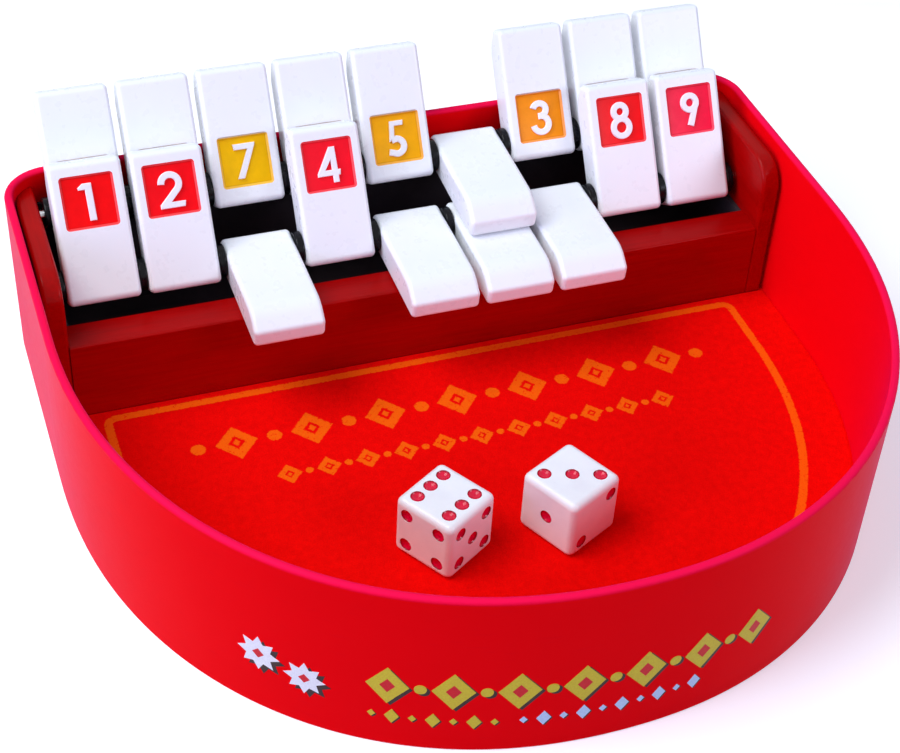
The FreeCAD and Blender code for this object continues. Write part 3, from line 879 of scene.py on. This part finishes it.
def printed_ink(name, tone, worn_tone):
    ink = Finish(name)
    screen = ink.grain(0.5, 3.0)
    ink.surface(
        Base_Color=ink.mix(screen.above(0.55, 0.4) * 0.5, tone, worn_tone),
        Roughness=0.34 + 0.14 * screen,
        Normal=ink.relief(screen, 0.003),
        Specular_IOR_Level=0.2,
    )
    return ink


def lozenge(x, y, width, height):
    return [(x + width / 2, y), (x, y + height / 2), (x - width / 2, y), (x, y - height / 2)]


def disc(x, y, radius):
    return arc(x, y, radius, 0, 330)


def star(x, y, radius):
    corners = []
    for i in range(2 * STAR_POINTS):
        reach = radius if i % 2 == 0 else radius * STAR_WAIST
        turn = math.pi * i / STAR_POINTS
        corners.append((x + reach * math.cos(turn), y + reach * math.sin(turn)))
    return corners


def fine_row(start, up, count):
    """Small and large lozenges by turns."""
    return [lozenge(start + FINE_PITCH * i, up, *FINE_LOZENGES[i % 2]) for i in range(count)]


def moved(outlines, x, y):
    return [[(p[0] + x, p[1] + y) for p in outline] for outline in outlines]


band, hearts = [], []
for i in range(BAND_COUNT):
    x = BAND_START + BAND_PITCH * i
    band.append(lozenge(x, BAND_UP, *BAND_LOZENGE))
    hearts.append(lozenge(x, BAND_UP, *BAND_HEART))
    if i < BAND_COUNT - 1:
        band.append(disc(x + BAND_PITCH / 2, BAND_UP, BAND_DOT))
fine_ochre = fine_row(start=-68.0, up=11.9, count=7)
fine_blue = fine_row(start=-28.0, up=12.1, count=10)
stars = [star(along, up, radius) for along, up, radius, _ in STARS]
hearts += [lozenge(along, up, heart, heart) for along, up, _, heart in STARS]
shadows = moved(band, x=0.9, y=-0.7)
shadows += moved(fine_ochre + fine_blue, x=0.4, y=-0.35)
shadows += moved(stars, x=1.6, y=-1.0)

ink_black = printed_ink("printed_black", colour(30, 8, 14), colour(52, 14, 20))
ink_ochre = printed_ink("printed_ochre", colour(214, 190, 46), colour(190, 150, 40))
ink_blue = printed_ink("printed_pale_blue", colour(196, 216, 246), colour(168, 186, 224))
ink_white = printed_ink("printed_white", colour(240, 236, 240), colour(214, 206, 216))
ink_red = printed_ink("printed_red", colour(214, 10, 34), colour(180, 8, 28))
for name, outlines, ink, film in (
    ("print_shadow", shadows, ink_black, 0.03),
    ("print_ochre", band + fine_ochre, ink_ochre, 0.06),
    ("print_pale_blue", fine_blue, ink_blue, 0.06),
    ("print_white", stars, ink_white, 0.06),
    ("print_hearts", hearts, ink_red, 0.08),
):
    points, faces = raised(outlines, on_wall, -INK_SUNK, film, spacing=INK_SPACING)
    make_piece(name, points, faces, ink, "tray_and_frame")

# Table and light. A white table top, a broad soft lamp above the left, weaker soft panels low on
# the left and at the front right, and a dim even surround. The table and the surround look white.
TABLE_HALF = 3.0
TABLE_GREY = (0.48, 0.48, 0.49, 1)
TABLE_LIGHT_GREY = (0.52, 0.52, 0.53, 1)
TABLE_WHITE = (0.94, 0.94, 0.94, 1)
SURROUND_WHITE = (1, 1, 1, 1)
SURROUND_LIGHT = (0.80, 0.97, 1.35, 1)
SURROUND_STRENGTH = 0.26
LAMP_TARGET = (0, -0.03, 0.03)

table_white = Finish("white_table")
table_tone = table_white.mix(table_white.grain(60.0), TABLE_GREY, TABLE_LIGHT_GREY)
table_in_light = table_white.node("BsdfPrincipled", {}, {
    "Base Color": table_tone, "Roughness": 0.9, "Specular IOR Level": 0.1,
})
table_seen = table_white.node("BsdfPrincipled", {}, {
    "Base Color": TABLE_WHITE, "Roughness": 0.9, "Specular IOR Level": 0.1,
    "Emission Color": SURROUND_WHITE, "Emission Strength": 0.3,
})
either = {0: table_white.seen(), 1: table_in_light, 2: table_seen}
table_white.end(table_white.node("MixShader", {}, either))

table_mesh = bpy.data.meshes.new("table_top")
table_corners = [(-TABLE_HALF, -TABLE_HALF, 0), (TABLE_HALF, -TABLE_HALF, 0),
                 (TABLE_HALF, TABLE_HALF, 0), (-TABLE_HALF, TABLE_HALF, 0)]
table_mesh.from_pydata(table_corners, [], [(0, 1, 2, 3)])
table_mesh.materials.append(table_white.material)
add_object("table_top", table_mesh)

world = bpy.data.worlds.new("surround")
bpy.context.scene.world = world
surround = Shading(world)
surround_seen = surround.seen()
surround.end(surround.node("Background", {}, {
    "Color": surround.mix(surround_seen, SURROUND_LIGHT, SURROUND_WHITE),
    "Strength": surround.node("Mix", {}, {0: surround_seen, 2: SURROUND_STRENGTH, 3: 1.0}),
}), "World")


def soft_lamp(name, place, size, power, tint):
    lamp = bpy.data.lights.new(name, "AREA")
    lamp.shape = "DISK"
    lamp.size = size
    lamp.energy = power
    lamp.color = tint
    add_object(name, lamp).matrix_world = facing(place, LAMP_TARGET)


soft_lamp("key_lamp", place=(-0.66, 0.02, 1.15), size=0.9, power=12.3, tint=(0.94, 1.0, 1.01))
soft_lamp("left_panel", place=(-1.1, -0.3, 0.38), size=0.6, power=4.9, tint=(0.88, 0.92, 1.5))
soft_lamp("front_right_panel", place=(0.9, -0.9, 0.7), size=0.6, power=6.0, tint=(0.97, 1.0, 1.25))

bpy.context.scene.view_settings.view_transform = "Standard"
